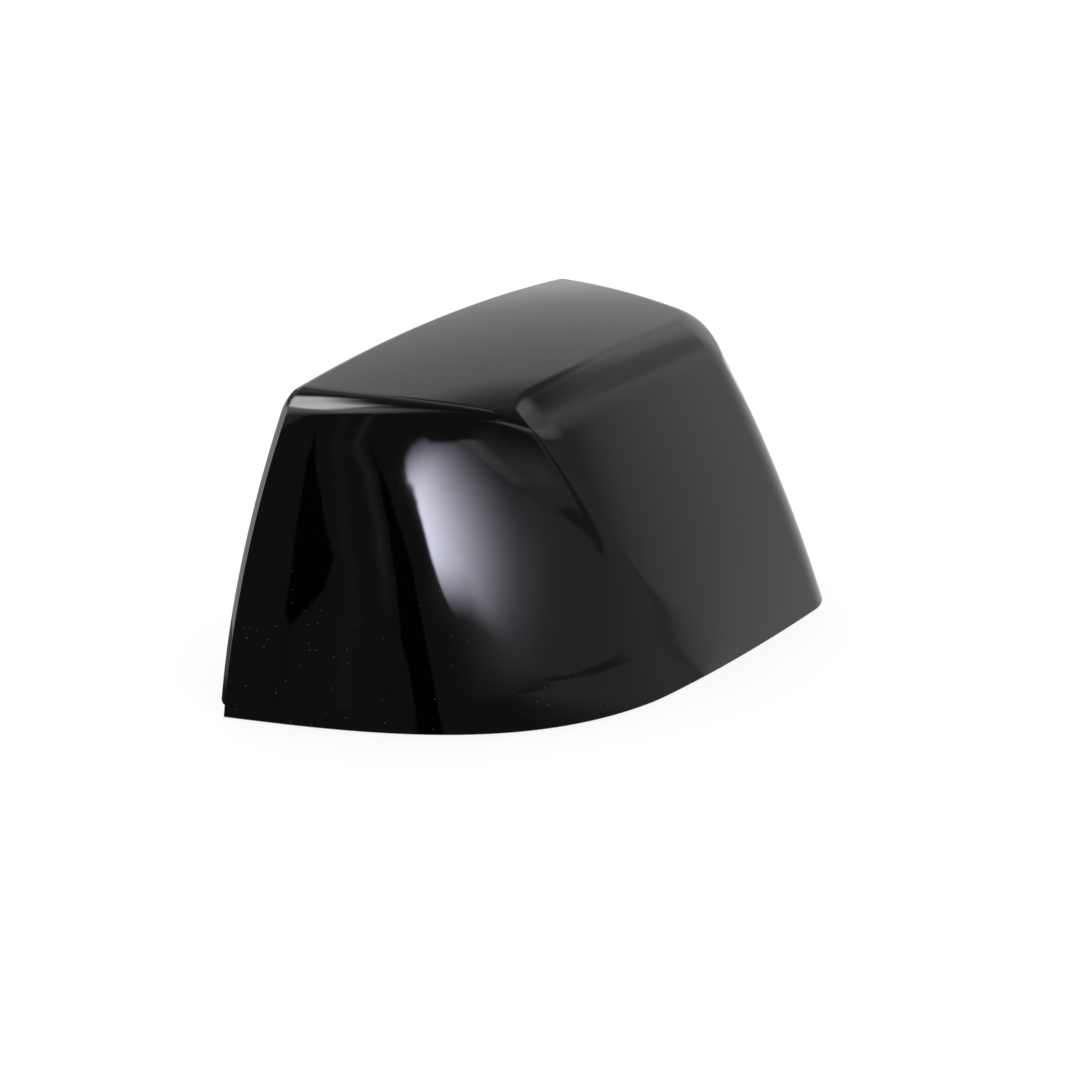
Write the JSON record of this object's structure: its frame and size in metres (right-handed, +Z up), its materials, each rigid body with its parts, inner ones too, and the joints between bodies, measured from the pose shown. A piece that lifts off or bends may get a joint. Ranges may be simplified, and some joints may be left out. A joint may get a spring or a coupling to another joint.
{
  "type": "wing mirror cover",
  "caption": "One-piece gloss black clip-on cover for the upper front of a car's wing mirror housing, open at the rear and underneath.",
  "frame": {"origin": "middle of the part's footprint, at the level of the rim it rests on", "axes": "+X along the rear opening from the cover's outer end to its inner end, the car side; +Y to the rear, out of the rear opening; +Z up, from the rim to the top"},
  "size_m": [0.2415, 0.1113, 0.1166],
  "materials": {
    "gloss_black": "high gloss"
  },
  "bodies": {
    "root": {"mirror_cover": "gloss_black"}
  },
  "joints": []
}
